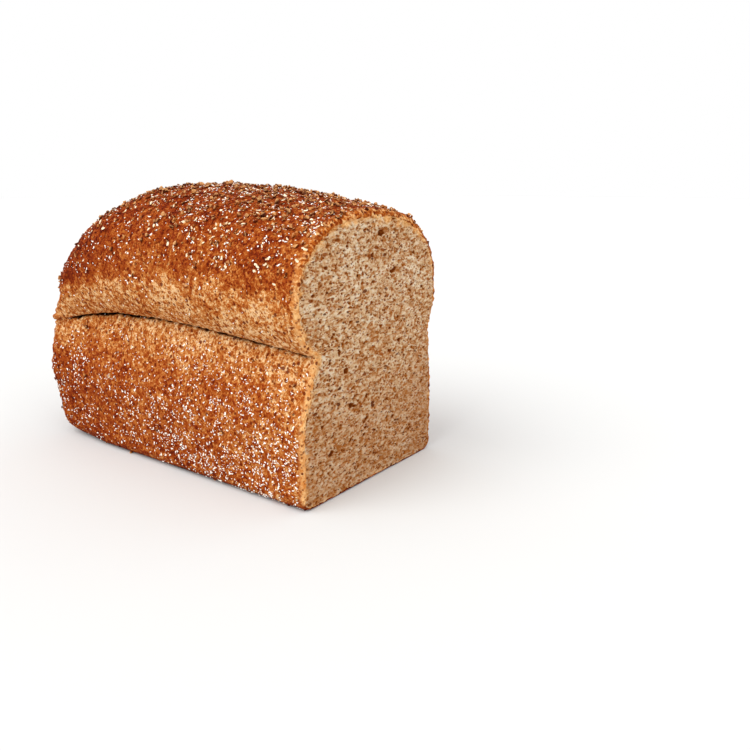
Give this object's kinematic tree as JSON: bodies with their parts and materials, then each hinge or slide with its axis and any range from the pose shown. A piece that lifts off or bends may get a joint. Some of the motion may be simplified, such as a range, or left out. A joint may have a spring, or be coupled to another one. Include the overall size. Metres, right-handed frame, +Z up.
{
  "type": "cut wholemeal tin loaf",
  "caption": "Wholemeal bread loaf baked in a tin, cut across: flat base and walls, domed bran-flaked crown over a crease, and an open crumb face.",
  "frame": {"origin": "middle of the loaf's bounding box, at the level of the flat base that it stands on", "axes": "+X along the loaf towards its cut face, +Y across the loaf, +Z up towards the crown"},
  "size_m": [0.2052, 0.1138, 0.142],
  "materials": {
    "crust": "dry baked crust, red-brown on the crown, tan above the crease, dull",
    "crumb": "soft open crumb, beige-grey with brown bran specks, dull",
    "bran": "coarse toasted bran flakes, dark brown, dull",
    "flour": "dry cream-white grain meal and flour, dull"
  },
  "bodies": {
    "root": {"loaf": "crust"}
  },
  "joints": []
}
